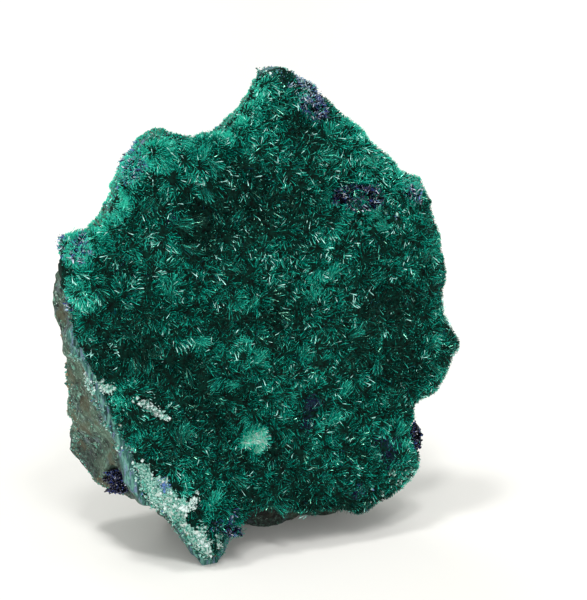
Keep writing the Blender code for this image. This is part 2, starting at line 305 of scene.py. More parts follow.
def shape_rock():
    """The rock as a fine mesh with knobs and grain."""
    rock = fine_copy("matrix", "rock", ROCK_VOXEL, 2)
    points, normals = read_mesh(rock.data)
    push = sum(wander(points, size * MM, i) * rise * MM for i, (size, rise) in enumerate(ROCK_BUMPS))
    bare = np.clip((depth(points) - 0.3 * MM) / (1.2 * MM), 0, 1)
    write_points(rock.data, swollen(points + normals * (push * bare)[:, None], normals))
    return rock


rock = shape_rock()
print("rock faces:", len(rock.data.polygons))

# %% [markdown]
# The rock is weathered copper ore, broken long ago: grey-green and dark grains with pits between
# them, brown and lavender patches, and specks of mint. It is rough and has hardly any gloss. Each
# stain is a noise of its own real size, laid over the ones before. Next to the crust the rock has a
# thin teal coat with streaks along the edge, so that noise is stretched upwards. Low down, under the
# crust, the rock is painted near black as shade. That painted shade fades between limits, each with
# its dark end first.

# %% Rock material
GRAIN = 0.35 * MM
PAINTED_SHADE_HEIGHT = (3.0 * MM, 9.0 * MM)
PAINTED_SHADE_X = (-7.5 * MM, -9.5 * MM)
RAGGED_SIZE = 1.5 * MM
RAGGED_MM = 2.4
COAT_DEPTH_MM = (0.6, 1.6)
PAINTED_SHADE_DEPTH_MM = (6.0, 11.0)
STREAK_MM = 0.4
STREAK_STRETCH = 0.2
ORE_STAINS = (
    (0.55, 8.0, 0.54, 0.62, 1.0, "#789A8A"), (0.8, 1.0, 0.54, 0.60, 1.0, "#081410"),
    (0.45, 3.0, 0.60, 0.65, 0.8, "#6CB89E"), (0.3, 6.0, 0.64, 0.68, 1.0, "#CFE0D6"),
    (8.0, 11.0, 0.48, 0.58, 0.65, "#14231E"), (6.0, 12.0, 0.52, 0.60, 0.5, "#64806A"),
    (3.6, 5.0, 0.55, 0.63, 0.7, "#55523B"), (2.6, 2.0, 0.57, 0.66, 0.7, "#5F6D74"),
)
COAT_STAINS = (
    (9.0, 0.46, 0.60, 1.0, "#6FA99B"), (4.0, 0.50, 0.62, 1.0, "#6E82A0"), (7.0, 0.54, 0.62, 1.0, "#0E3A36"),
)


def stained(tree, colour, place, size_mm, seed, low, high, most, stain):
    """The colour with patches of a stain over it, where a noise of that size is high."""
    sockets = {"Vector": place, "Scale": 1 / (size_mm * MM), "Detail": 3.0, "W": seed}
    patch = add(tree, "ShaderNodeTexNoise", sockets, noise_dimensions="4D").outputs["Fac"]
    amount = add(tree, "ShaderNodeMapRange", {"Value": patch, "From Min": low, "From Max": high, "To Max": most})
    sockets = {0: amount.outputs["Result"], 6: colour, 7: linear(stain)}
    return add(tree, "ShaderNodeMix", sockets, data_type="RGBA").outputs[2]


def weathered_ore():
    """Rough copper ore with a teal coat next to the crust, and painted shade low down under the arch."""
    made = new_material("weathered_ore")
    tree = made.node_tree
    place = add(tree, "ShaderNodeTexCoord").outputs["Object"]
    grain = add(tree, "ShaderNodeTexNoise", {"Vector": place, "Scale": 1 / GRAIN, "Detail": 4.0}).outputs["Fac"]
    lit = add(tree, "ShaderNodeMapRange", {"Value": grain, "From Min": 0.42, "From Max": 0.58})
    sockets = {0: lit.outputs["Result"], 6: linear("#14261F"), 7: linear("#456657")}
    colour = add(tree, "ShaderNodeMix", sockets, data_type="RGBA").outputs[2]
    for stain in ORE_STAINS:
        colour = stained(tree, colour, place, *stain)
    coat = linear("#2F6A62")
    upwards = add(tree, "ShaderNodeMapping", {"Vector": place, "Scale": (1, 1, STREAK_STRETCH)}).outputs["Vector"]
    for stain in COAT_STAINS:
        coat = stained(tree, coat, upwards, STREAK_MM, *stain)
    sockets = {0: place, 1: tuple(-FACE_OUT / MM)}
    along = add(tree, "ShaderNodeVectorMath", sockets, operation="DOT_PRODUCT").outputs["Value"]
    ragged = add(tree, "ShaderNodeTexNoise", {"Vector": place, "Scale": 1 / RAGGED_SIZE, "Detail": 4.0}).outputs["Fac"]
    sockets = {0: ragged, 1: RAGGED_MM, 2: FACE_FOOT * np.cos(FACE_LEAN) / MM - RAGGED_MM / 2}
    edge = add(tree, "ShaderNodeMath", sockets, operation="MULTIPLY_ADD").outputs[0]
    behind = add(tree, "ShaderNodeMath", {0: along, 1: edge}, operation="SUBTRACT").outputs[0]
    sockets = {"Value": behind, "From Min": COAT_DEPTH_MM[1], "From Max": COAT_DEPTH_MM[0]}
    near = add(tree, "ShaderNodeMapRange", sockets).outputs["Result"]
    colour = add(tree, "ShaderNodeMix", {0: near, 6: colour, 7: coat}, data_type="RGBA").outputs[2]
    # Painted shade: low down under the crust, the colour is mixed towards near black where shade falls under the arch.
    parts = add(tree, "ShaderNodeSeparateXYZ", {"Vector": place}).outputs
    shade = 1.0
    for value, (dark, light) in ((parts["Z"], PAINTED_SHADE_HEIGHT), (behind, PAINTED_SHADE_DEPTH_MM), (parts["X"], PAINTED_SHADE_X)):
        side = add(tree, "ShaderNodeMapRange", {"Value": value, "From Min": light, "From Max": dark})
        sockets = {0: shade, 1: side.outputs["Result"]}
        shade = add(tree, "ShaderNodeMath", sockets, operation="MULTIPLY").outputs[0]
    colour = add(tree, "ShaderNodeMix", {0: shade, 6: colour, 7: linear("#12120E")}, data_type="RGBA").outputs[2]
    bump = add(tree, "ShaderNodeBump", {"Height": grain, "Strength": 1.0, "Distance": 0.3 * MM})
    return give_surface(made, {"Base Color": colour, "Roughness": 0.75, "IOR": 1.5, "Normal": bump.outputs["Normal"]})


def settle(piece, materials, slot, *nodes):
    """Gives a piece its materials and the body it rides on, and hides the CAD nodes that it stands for."""
    for material in materials:
        piece.data.materials.append(material)
    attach(piece, "root")
    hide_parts(*nodes)


settle(rock, [weathered_ore()], "rock", "matrix")
print("rock slots:", [m.name for m in rock.data.materials])

# %% [markdown]
# Under the needles lies a dark green felt of crystals too small and dense to tell apart. It is the
# CAD crust with its spikes melted down by smoothing, drawn in a little so that the needles that
# stand on it end where the CAD spikes end. Its back is pushed into the rock, so that no light
# shows between the two. Its near-black colour is partly painted shade, deep between the needles.

# %% Ground under the needles
GROUND_VOXEL = 0.6 * MM
GROUND_DROP = 0.35 * MM
BACK_PUSH = 1.0 * MM


def shape_ground():
    """The crust without its needles."""
    ground = fine_copy("brochantite_crust", "crust_ground", GROUND_VOXEL, 9)
    points, normals = read_mesh(ground.data)
    forward = np.clip(normals @ FACE_OUT, 0, 1)
    back = np.clip(1 + depth(points) / (1.2 * MM), 0, 1)
    points = points - normals * (GROUND_DROP * forward)[:, None] - FACE_OUT * (BACK_PUSH * back)[:, None]
    write_points(ground.data, swollen(points, normals))
    return ground


def felt_and_painted_shade():
    """Felted brochantite: dark green, and near black as painted shade between the needles, with little gloss."""
    made = new_material("felt_and_painted_shade")
    tree = made.node_tree
    place = add(tree, "ShaderNodeTexCoord").outputs["Object"]
    felt = add(tree, "ShaderNodeTexNoise", {"Vector": place, "Scale": 1 / (0.6 * MM), "Detail": 3.0})
    lit = add(tree, "ShaderNodeMapRange", {"Value": felt.outputs["Fac"], "From Min": 0.35, "From Max": 0.65})
    sockets = {0: lit.outputs["Result"], 6: linear("#020A08"), 7: linear("#002E24")}
    colour = add(tree, "ShaderNodeMix", sockets, data_type="RGBA").outputs[2]
    return give_surface(made, {"Base Color": colour, "Roughness": 0.8, "Specular IOR Level": 0.1})


def crumb_crust():
    """A crust of mint and white grains: matt, with a sandy bump."""
    made = new_material("crumb_crust")
    tree = made.node_tree
    place = add(tree, "ShaderNodeTexCoord").outputs["Object"]
    grain = add(tree, "ShaderNodeTexNoise", {"Vector": place, "Scale": 1 / (0.3 * MM), "Detail": 3.0}).outputs["Fac"]
    lit = add(tree, "ShaderNodeMapRange", {"Value": grain, "From Min": 0.40, "From Max": 0.60}).outputs["Result"]
    sockets = {0: lit, 6: linear("#348B7B"), 7: linear("#B5E2D5")}
    colour = add(tree, "ShaderNodeMix", sockets, data_type="RGBA").outputs[2]
    patch = add(tree, "ShaderNodeTexNoise", {"Vector": place, "Scale": 1 / (1.1 * MM), "Detail": 4.0}).outputs["Fac"]
    white = add(tree, "ShaderNodeMapRange", {"Value": patch, "From Min": 0.55, "From Max": 0.62}).outputs["Result"]
    colour = add(tree, "ShaderNodeMix", {0: white, 6: colour, 7: linear("#E6F2EC")}, data_type="RGBA").outputs[2]
    bump = add(tree, "ShaderNodeBump", {"Height": grain, "Strength": 1.0, "Distance": 0.3 * MM})
    return give_surface(made, {"Base Color": colour, "Roughness": 0.7, "Normal": bump.outputs["Normal"]})


ground = shape_ground()
settle(ground, [felt_and_painted_shade(), crumb_crust()], "brochantite", "brochantite_crust")
print("ground faces:", len(ground.data.polygons))

# %% [markdown]
# A needle is a long prism with a pointed end. One function makes thousands at once from arrays of
# roots, directions, lengths and widths. Every prism is closed, and its few flat faces flash when one
# of them mirrors a soft box, as the real ones do. Needles end in a point at their root as well, which
# is hidden in the ground and saves four of their ten triangles.

# %% Crystal prisms


def unit(vectors):
    """The vectors at length one."""
    return vectors / np.maximum(np.linalg.norm(vectors, axis=-1, keepdims=True), 1e-12)


def across(along):
    """Two directions at right angles to each of these and to each other."""
    first = unit(np.cross(along, [0.31, 0.22, 0.93]))
    return first, np.cross(along, first)


def prism_faces(sides, pointed_root):
    """The triangles of one prism: its root end, its walls, and then its tip."""
    ring = [(i, (i + 1) % sides) for i in range(sides)]
    if pointed_root:
        return np.array([(sides, j, i) for i, j in ring] + [(i, j, sides + 1) for i, j in ring])
    foot = [(0, i + 1, i) for i in range(1, sides - 1)]
    walls = [t for i, j in ring for t in ((i, j, j + sides), (i, j + sides, i + sides))]
    return np.array(foot + walls + [(i + sides, j + sides, 2 * sides) for i, j in ring])


def prisms(root, along, length, width, turn, body, tip, sides=3, flat=1.0, shoulder=0.82, foot=None):
    """Points, triangles and slots of prisms, one for each root. Those without a foot are pointed there.

    Width is across the whole prism, and body and tip are the material slots of its walls and of its end.
    """
    first, second = across(along)
    cos, sin = np.cos(turn)[:, None], np.sin(turn)[:, None]
    wide, thin = first * cos + second * sin, second * cos - first * sin
    angle = np.arange(sides) * 2 * np.pi / sides
    ring = np.cos(angle)[None, :, None] * wide[:, None] + flat * np.sin(angle)[None, :, None] * thin[:, None]
    ring = ring * (width / 2)[:, None, None]
    step = along * length[:, None]
    high = (root + step * shoulder)[:, None] + ring
    parts = [high, root[:, None]] if foot is None else [root[:, None] + ring * foot, high]
    points = np.concatenate(parts + [(root + step)[:, None]], axis=1)
    one = prism_faces(sides, foot is None)
    faces = one[None] + (np.arange(len(root)) * points.shape[1])[:, None, None]
    slots = np.repeat(np.stack([body, tip], axis=1), (len(one) - sides, sides), axis=1)
    return points.reshape(-1, 3), faces.reshape(-1, 3), slots.ravel()


def build(name, groups):
    """One object from several groups of points, triangles and slots."""
    starts = np.cumsum([0] + [len(g[0]) for g in groups])
    points = inside_box(np.concatenate([g[0] for g in groups]))
    faces = np.concatenate([g[1] + s for g, s in zip(groups, starts)])
    mesh = bpy.data.meshes.new(name)
    mesh.from_pydata(points, [], faces)
    mesh.polygons.foreach_set("material_index", np.concatenate([g[2] for g in groups]).astype(np.int32))
    piece = bpy.data.objects.new(name, mesh)
    bpy.context.scene.collection.objects.link(piece)
    return piece


print("triangles in a blade and in a needle:", len(prism_faces(4, False)), len(prism_faces(3, True)))

# %% [markdown]
# The needles stand in tufts. Each tuft started from one point and grew outwards like a burr, until
# it met its neighbours. So tuft middles are scattered evenly over the ground first. A needle then
# stands anywhere on the ground and points away from the nearest middle: upright at the middle, and
# leaning out more and more towards the tuft's edge.

# %% Where tufts stand
SEED = 5
TUFT_GAP = 2.1 * MM
TUFT_TILT = 0.7
BARE_BELOW = 46 * MM
rng = np.random.default_rng(SEED)


def ball(*shape):
    """Random vectors, most of them shorter than one."""
    return rng.normal(size=shape + (3,)) * 0.5


def search_tree(points):
    """The points, ready for a quick search of the nearest."""
    tree = KDTree(len(points))
    for i, p in enumerate(points):
        tree.insert(p, i)
    tree.balance()
    return tree


def nearest(tree, points):
    """For each point, the place, the number and the distance of the tree's nearest point."""
    return [np.array(column) for column in zip(*(tree.find(p) for p in points))]


def spaced(points, gaps):
    """Numbers of a random choice of the points, each with its gap free of later ones."""
    tree = search_tree(points)
    free = np.ones(len(points), bool)
    chosen = []
    for i in rng.permutation(len(points)):
        if free[i]:
            chosen.append(i)
            free[[found[1] for found in tree.find_range(points[i], gaps[i])]] = False
    return np.array(chosen)


def growing_ground():
    """Points and normals of the ground where needles grow: all but its back, against the rock."""
    points, normals = read_mesh(ground.data)
    open_side = (normals @ FACE_OUT > -0.35) & (depth(points) < 0.35 * MM)
    return points[open_side], normals[open_side]


def bare_rock(deepest):
    """Points and normals of the rock's front edge that no crust covers, to that depth behind the face."""
    points, normals = read_mesh(rock.data)
    behind = depth(points)
    near = np.flatnonzero((behind > -0.3 * MM) & (behind < deepest))
    gap = nearest(search_tree(read_mesh(ground.data)[0]), points[near])[2]
    near = near[(gap > 0.7 * MM) | (normals[near] @ FACE_OUT < 0.7)]
    return points[near], normals[near]


def growing_rim():
    """Points and normals of the rock's edge where the needles wrap round it: all but the lower left."""
    points, normals = bare_rock(4.2 * MM)
    reach = (3.2 + 0.7 * wander(points, 3.0 * MM, 21)) * MM
    bare_side = (points[:, 0] < -6 * MM) & (points[:, 2] < BARE_BELOW)
    found = (depth(points) < reach) & ~bare_side & (points[:, 2] > 1.5 * MM)
    return points[found], normals[found]


front_points, front_normals = (np.concatenate(pair) for pair in zip(growing_ground(), bare_rock(3.0 * MM)))
ground_points, ground_normals = (np.concatenate(pair) for pair in zip(growing_ground(), growing_rim()))
tuft_numbers = spaced(ground_points, TUFT_GAP * (1 + 0.4 * wander(ground_points, 4.0 * MM, 13)))
tuft_at = ground_points[tuft_numbers]
tuft_axis = unit(ground_normals[tuft_numbers] + TUFT_TILT * ball(len(tuft_numbers)))
tuft_tree = search_tree(tuft_at)
print("tufts:", len(tuft_at), "ground points:", len(ground_points))

# %% [markdown]
# Seen from further off, the druse has light and dark places: silky fans and rims that catch the
# light, and hollows where it sinks in. Here that light and shade is painted into the needles' tints.
# Each is a place on the face, as x and height in millimetres, with its radius and how much lighter
# or darker its needles are. Places that are as light or as dark stand together. Noise does the rest.

# %% Painted light and dark places
# Painted light along the upper rim, where it catches the light.
UPPER_RIM_PAINTED_LIGHT = (
    (-29.8, 47.5, 2, 1.2), (-27.4, 49, 2.2, 1.3), (-25, 51.6, 2.2, 2.3), (-22.8, 55, 2, 2.8),
    (-20.6, 58.2, 2, 2.5), (-17.8, 60.6, 2, 1.4), (-14.2, 61.6, 2.4, 1.2), (-9.5, 61.6, 2.4, 1),
    (-5.5, 62.6, 2, 1.7), (-3.2, 65.4, 2, 2.4), (-1.2, 68, 1.8, 2.6), (-29.6, 42.8, 1.8, 0.9),
)
PAINTED_TONE_PLACES = {
    1.0: ((20.3, 54.6, 2), (6.2, 67.8, 1.3)),
    0.9: ((-16.4, 42.4, 2.2), (-11.8, 11.2, 1.9), (15.2, 53.9, 2), (5.6, 18.4, 1.8), (20, 8.4, 1.6)),
    0.8: ((-15.5, 48.8, 2.2), (-11.6, 8.8, 1.8), (-16.2, 13.2, 1.8), (24.5, 52, 1.6)),
    0.7: ((16.5, 58, 2.2), (-16.4, 16.4, 1.6), (20.4, 52.6, 1.8), (-22.1, 41.8, 2), (11.9, 62.7, 1.8)),
    0.6: (
        (-29, 39.5, 1.5), (8.6, 41.4, 2), (24.1, 28.7, 2.2), (24.2, 42.2, 2.4), (17.6, 17, 2.4), (2, 60.5, 2),
        (-4.1, 64.9, 1.8), (3.1, 55.6, 2), (-24.1, 27.8, 1.6), (15.7, 47, 2), (18.6, 13.4, 1.6),
        (-28.9, 48.7, 1.8), (-5.4, 20.9, 1.4), (8.8, 45.9, 1.8), (-9.4, 23.7, 1.6), (15.9, 59.4, 1.8),
        (21.6, 47, 1.6), (24.4, 52.2, 1.4),
    ),
    0.5: (
        (12.1, 62.2, 1.8), (-4.5, 38.2, 2), (5.8, 38.6, 1.8), (-4.2, 31.2, 2), (7.8, 19.8, 2), (9.7, 61.7, 1.8),
        (8, 53.9, 1.8), (22.2, 50.8, 1.6), (-12.7, 35.6, 1.8), (-20.7, 21.3, 1.6), (0.4, 66.9, 1.8),
        (-24.2, 28.1, 1.6), (-16.9, 14, 1.8), (13.7, 54.8, 1.8), (-10.9, 57.5, 2), (-23.5, 55.1, 2),
        (20.8, 36.2, 1.6), (16.1, 25.8, 1.8), (-28.4, 36.2, 1.6), (13.9, 60.6, 1.8), (0.4, 61.1, 1.8),
        (27.8, 30.3, 1.8), (25.8, 22.2, 1.8), (16.2, 47.2, 1.8), (-6, 20.7, 1.4),
    ),
    0.4: (
        (11, 32.7, 2), (3.6, 30.1, 2), (-11.3, 33.8, 2.2), (2.7, 58.7, 1.8), (18.6, 54.1, 1.8),
        (-18.7, 47.3, 1.8), (-14.5, 50.9, 1.6), (5.5, 19.3, 1.6), (-1.3, 68.3, 1.6), (-19.3, 46.7, 1.8),
        (7.6, 54.4, 1.6), (-25.3, 39.7, 1.6), (14.7, 47.5, 1.6),
    ),
    0.3: ((-6.3, 13.8, 2), (7.8, 54.5, 1.6), (-15.8, 16, 1.6), (-9.2, 56, 1.6), (11.9, 55.9, 1.6)),
    -0.4: (
        (-17.7, 31, 1.8), (-13.4, 26.6, 2.2), (-7, 14, 2.6), (2.8, 16, 1.8), (5, 48.5, 3), (-7.2, 43.5, 2),
        (-2.7, 35.3, 1.8), (-14.5, 19.4, 1.8), (-7.2, 10.4, 1.8), (4.7, 30.8, 1.6), (5.1, 60.3, 1.8),
        (8.8, 13.7, 1.6), (-26.4, 32.3, 1.8),
    ),
    -0.5: (
        (-0.4, 49.6, 2), (-4.8, 56.3, 2), (23.2, 26.4, 2), (12.5, 37.5, 2), (13.3, 28.7, 2.4), (-24.5, 40, 2.2),
        (-13.7, 24.2, 1.8), (2.4, 51.5, 2), (-6.9, 51.4, 2), (-0.6, 36.2, 1.8), (2.5, 51.4, 1.8),
        (9, 39.2, 1.6), (14.8, 35.3, 1.8), (-25.2, 35.8, 1.8), (-25.6, 42.3, 1.6), (-0.4, 36.8, 1.8),
        (15.3, 6.3, 1.8), (-8.8, 38.3, 1.8), (10.8, 28.6, 1.8), (2.9, 8.8, 1.8), (-15.5, 40.5, 1.6),
        (23.3, 40.8, 1.8), (2.5, 64.7, 1.8), (-2, 17.4, 1.8),
    ),
    -0.6: (
        (-11.7, 27.5, 2), (1.1, 40.2, 2), (3.4, 35.7, 2), (-1.5, 53.5, 4), (-11.4, 18, 1.8), (-8.6, 59.6, 2),
        (8.4, 5.6, 2), (3.6, 6.5, 2.2), (14.7, 32.4, 2), (24.1, 40.4, 1.6), (8.9, 7.3, 1.8), (-19.1, 29.9, 1.8),
        (-3.4, 51.2, 1.8), (-13.1, 30.3, 1.8), (-19.3, 54.6, 1.8),
    ),
    -0.7: (
        (11.5, 7.1, 2), (-10.3, 22, 2.2), (-14.6, 30.6, 2.2), (-18.9, 53.9, 2), (-2, 17, 1.6),
        (-25.6, 48.4, 1.8), (-5, 36.2, 2),
    ),
    -0.8: ((-0.2, 36.8, 1.8), (19.5, 25, 2.8), (3.8, 69.6, 1.8)),
    -0.9: ((-22.3, 33.5, 3.2), (18.8, 35, 3), (-11, 49.5, 2.5), (-11.9, 50, 2)),
    -1.0: ((-10.5, 47.5, 2.2),),
    -1.4: ((-11, 50.5, 3),),
}
# Painted light and shade: lighter where rims and fans catch the light, darker in hollows and low down where shade
# falls.
PAINTED_LIGHT_AND_SHADE = UPPER_RIM_PAINTED_LIGHT + tuple(place + (amount,) for amount, places in PAINTED_TONE_PLACES.items() for place in places)


def tone(root):
    """How light the needles at these roots are, as painted light and shade with noise: about nought on average."""
    return 1.2 * blobs(root, PAINTED_LIGHT_AND_SHADE) + wander(root, 5.0 * MM, 11) * 0.5 + wander(root, 1.6 * MM, 12) * 0.4


print("light places:", sum(t[3] > 0 for t in PAINTED_LIGHT_AND_SHADE), "dark places:", sum(t[3] < 0 for t in PAINTED_LIGHT_AND_SHADE))

# %% [markdown]
# Brochantite is a glassy green crystal. Its faces are smooth and mirror a little more light than
# quartz does. A needle is only a pixel or two wide, so its variety comes from several tints of
# the same glass, from nearly black to mint. Which tint a needle takes follows the painted light and
# shade of its place, and chance.

# %% Brochantite glass
TINTS = ("#001412", "#003A33", "#006E60", "#00A891", "#30D6BB", "#5CEFD4", "#98FFEC", "#0A4458", "#20214A", "#E8F0EE")
BLACK, DEEP, MID, BRIGHT, MINT, PALE, WHITE, BLUISH, VIOLET, MILKY, PAINTED_GLINT = range(11)
VIOLET_PLACES = (
    (4.9, 22.8, 1.2, 1), (4.6, 20.9, 1.3, 1.1), (3.7, 19.2, 1, 0.9), (15.8, 15.2, 1.4, 1), (16.8, 13, 1.4, 1),
    (11.4, 8.8, 0.9, 0.9), (-14.3, 19.7, 0.9, 0.7), (-15.5, 51.5, 0.8, 0.7), (-23.8, 45, 0.9, 0.6),
)
TINT_STEPS = (-0.5, 0.1, 0.75, 1.5, 3.2)
CHANCE = 0.65
BLUISH_SHARE = 0.02
# Painted glints: this share of needles gets a pale tip; every other tip is one tint lighter than its body.
PAINTED_GLINT_TIPS = 0.06


def tints(root, chance=CHANCE):
    """The slot of each needle's body and of its tip, from the tone where it stands, which holds painted light and
    shade, and from chance.
    """
    value = tone(root) + rng.normal(size=len(root)) * chance
    body = np.digitize(value, TINT_STEPS) + BLACK
    body[rng.random(len(root)) < BLUISH_SHARE] = BLUISH
    body[blobs(root, VIOLET_PLACES) + rng.normal(size=len(root)) * 0.15 > 0.5] = VIOLET
    tip = np.where(rng.random(len(root)) < PAINTED_GLINT_TIPS, PALE, np.minimum(body + 1, PALE))
    return body, np.where(body >= BLUISH, body, tip)


CRYSTAL = {"Roughness": 0.12, "IOR": 1.65, "Specular Tint": linear("#9FFFD8")}
NEEDLE_GLASS = [even_material(f"brochantite_{i}", colour, CRYSTAL) for i, colour in enumerate(TINTS)]
# Painted glints: the palest brochantite tint, worn by the needles that stand in for flashes.
NEEDLE_GLASS.append(even_material("painted_glint_glass", "#BEFFF6", CRYSTAL | {"Roughness": 0.25}))
print("tints:", len(NEEDLE_GLASS))

# %% [markdown]
# In the picture the real piece has a crisp edge, though needles stand on it. So a needle or blade
# that would reach past the outline of the ground and the rock is cut short, to within 0.3 mm of it.
# That outline is found by laying their points flat on the picture's plane.

# %% Outline in the picture
FRINGE = (0.12, 0.3)
SHORTEST = 0.12 * MM


def flat(vectors):
    """The vectors laid flat on the picture's plane."""
    sight = unit(CAMERA_TO - CAMERA_AT)
    return vectors - (vectors @ sight)[:, None] * sight


outline_tree = search_tree(flat(np.concatenate([read_mesh(ground.data)[0], read_mesh(rock.data)[0]])))


def trimmed(root, along, length):
    """Lengths that end each needle a hair's breadth outside the outline that the picture shows."""
    over = nearest(outline_tree, flat(root + along * length[:, None]))[2]
    over = np.maximum(over - rng.uniform(*FRINGE, len(root)) * MM, 0)
    sideways = np.maximum(np.linalg.norm(flat(along), axis=1), 0.3)
    return np.maximum(length - over / sideways, SHORTEST)


print("needles may pass the outline by", FRINGE[1], "mm")

# %% [markdown]
# Where the crust runs out, it ends in crumbs instead of needles. The crumbs come last, but their
# patches are given here, because most needles are left out there. Each patch has the share of every
# crumb colour, and then x, height and radius in millimetres.

# %% Where crumbs will lie
CRUMB_PATCHES = (
    ((2, 6, 2, 1), ((-21.6, 16.4, 1.2), (-20.9, 14.6, 1.4))),
    ((3, 6, 2, 1), ((-19.7, 12.6, 1.6),)),
    ((4, 6, 2, 1), ((-18, 11.4, 1.6),)),
    ((3, 6, 2, 1), ((-18.9, 10.6, 1.2),)),
    ((2, 5, 3, 2), ((-17.3, 9.2, 1.1),)),
    ((1, 4, 4, 3), ((-16.3, 7.4, 1), (-15.2, 5.8, 1), (-14.4, 4.2, 0.9))),
    ((1, 3, 4, 4), ((-12.6, 2.4, 1),)),
    ((3, 4, 3, 2), ((-10, 6, 0.5), (-10.9, 3.4, 0.6))),
    ((9, 1), ((-16.2, 10.1, 0.9), (-15.2, 10.5, 0.8))),
    ((8, 1), ((-14.5, 11.4, 0.6),)),
    ((7, 2), ((-13.7, 5.2, 0.9),)),
    ((8, 2), ((-13, 3.9, 0.9),)),
    ((5, 3, 2, 1), ((-13.4, 6.6, 0.6),)),
    ((0, 1, 1, 0, 8), ((-18.9, 14.2, 0.9),)),
    ((3, 3, 3, 1), ((-10.8, 4.6, 0.6),)),
    ((8, 2, 1), (
        (-22.4, 27.1, 0.45), (-21.4, 26.5, 0.5), (-20.5, 25.8, 0.6), (-19.6, 25, 0.7), (-18.7, 24.3, 0.55),
        (-18, 23.7, 0.45),
    )),
    ((6, 4, 1), ((-27.3, 28.7, 1.2), (-25.6, 28.6, 0.8))),
    ((1, 4, 4, 1), ((-29, 33, 0.7),)),
    ((1, 3, 4, 2, 1), ((-26.4, 25.7, 0.9), (-25, 22.6, 0.9), (-23.4, 19.2, 0.9))),
    ((5, 4, 1, 0, 2, 0, 1), ((5.9, 68, 0.8), (6.9, 67.2, 0.9), (7.8, 66.4, 0.7))),
    ((1, 2, 4, 3, 1, 0, 1), ((17.6, 48.8, 0.5), (19.8, 47.9, 0.5))),
    ((1, 3, 3, 1, 1, 2, 1), ((23.6, 52.4, 0.8),)),
    ((1, 5, 3, 0, 1), ((22.1, 53.2, 0.7),)),
    ((5, 5, 3, 2), ((19.8, 8.8, 1.2),)),
    ((3, 4, 4, 3), ((22.3, 9, 0.6),)),
    ((3, 3, 3, 5), ((16.9, 10.2, 0.6), (18.2, 8, 0.6))),
    ((1, 2, 4, 5), ((15.4, 7, 0.6), (13, 5.9, 0.5))),
    ((1, 3, 4, 4, 1), ((13.3, 8.6, 0.5),)),
    ((1, 3, 4, 4, 1, 0, 1), ((-0.4, 69.4, 0.8),)),
    ((1, 2, 4, 5, 1, 0, 1), ((1.5, 69.9, 0.8),)),
    ((0, 1, 3, 5, 2, 0, 3), ((3.4, 69.2, 0.8),)),
)
CRUMB_PLACES = [place + (shares,) for shares, places in CRUMB_PATCHES for place in places]


def crumb_cover(points, wider=1.0):
    """How thickly crumbs lie at each point, with every patch that much wider."""
    return blobs(points, [(x, height, radius * wider, 1.0) for x, height, radius, _ in CRUMB_PLACES])


def thinned(root):
    """True for the needles that are left where crumbs take their place."""
    return rng.random(len(root)) > np.clip(crumb_cover(root, 1.1) * 1.3 - 0.2, 0, 0.93)


print("patches of crumbs:", len(CRUMB_PLACES))

# %% [markdown]
# The fine needles are up to a tenth of a millimetre thick and 0.6 to 1.8 mm long, and stouter ones
# stand between them. More of them stand along the bright upper rim. Needles are shorter where the
# ground faces sideways, and those that would leave the specimen's box are left out.

# %% Needles of the tufts
FINE = dict(count=87_500, length=(0.6, 1.8), width=(0.05, 0.105))
STOUT = dict(count=6_000, length=(0.9, 2.0), width=(0.09, 0.14))
RIM = dict(count=9_000, length=(0.8, 1.8), width=(0.05, 0.10))
MOST_TRIANGLES = 190_000
ROOT_SPREAD = 0.35 * MM
ROOT_SUNK = 0.25 * MM
TUFT_REACH = TUFT_GAP * 0.62
SPLAY = 1.4
DISORDER = 0.42
LEAST_RISE = 0.2


def needle_roots(count, places=None):
    """Roots on the ground, the ground's normals there, and the number of the nearest tuft."""
    chosen = rng.integers(len(ground_points), size=count) if places is None else rng.choice(places, count)
    out = ground_normals[chosen]
    factor = edge_factor(out)[:, None]
    root = ground_points[chosen] + ROOT_SPREAD * factor * ball(count)
    return root - out * ROOT_SUNK * factor, out, nearest(tuft_tree, root)[1]


def needle_ways(root, out, tuft):
    """Each needle's direction: away from its tuft's middle, never into the ground."""
    away = (root - tuft_at[tuft]) / TUFT_REACH
    forward = (1 - edge_factor(out))[:, None] * FACE_OUT
    along = unit(tuft_axis[tuft] + SPLAY * away + forward + DISORDER * ball(len(root)))
    sinking = np.minimum(np.einsum("ij,ij->i", along, out) - LEAST_RISE, 0)
    return unit(along - out * sinking[:, None])


def edge_factor(out):
    """One where the ground faces forward, less where it faces sideways."""
    return 0.32 + 0.68 * np.clip((out @ FACE_OUT - 0.45) / 0.4, 0, 1)


def fits(root, along, length):
    """True for each needle whose tip stays in the CAD box."""
    tip = root + along * length[:, None]
    return np.all(np.abs(tip - inside_box(tip)) < 1e-9, axis=1)


def grow(root, along, length, width, chance=CHANCE):
    """Points, triangles and slots of needles, without those that would leave the box."""
    kept = fits(root, along, length) & thinned(root)
    root, along, length, width = root[kept], along[kept], length[kept], width[kept]
    turn = rng.uniform(0, 2 * np.pi, len(root))
    return prisms(root, along, length, width, turn, *tints(root, chance))


def tuft_needles(count, length, width, places=None):
    """The needles of all tufts, of one kind."""
    root, out, tuft = needle_roots(count, places)
    along = needle_ways(root, out, tuft)
    length = trimmed(root, along, rng.uniform(*length, count) * MM * edge_factor(out))
    return grow(root, along, length, rng.uniform(*width, count) * MM)


def upper_rim():
    """Numbers of the ground points along the bright upper rim."""
    return np.flatnonzero(blobs(ground_points, UPPER_RIM_PAINTED_LIGHT) > 0.35)


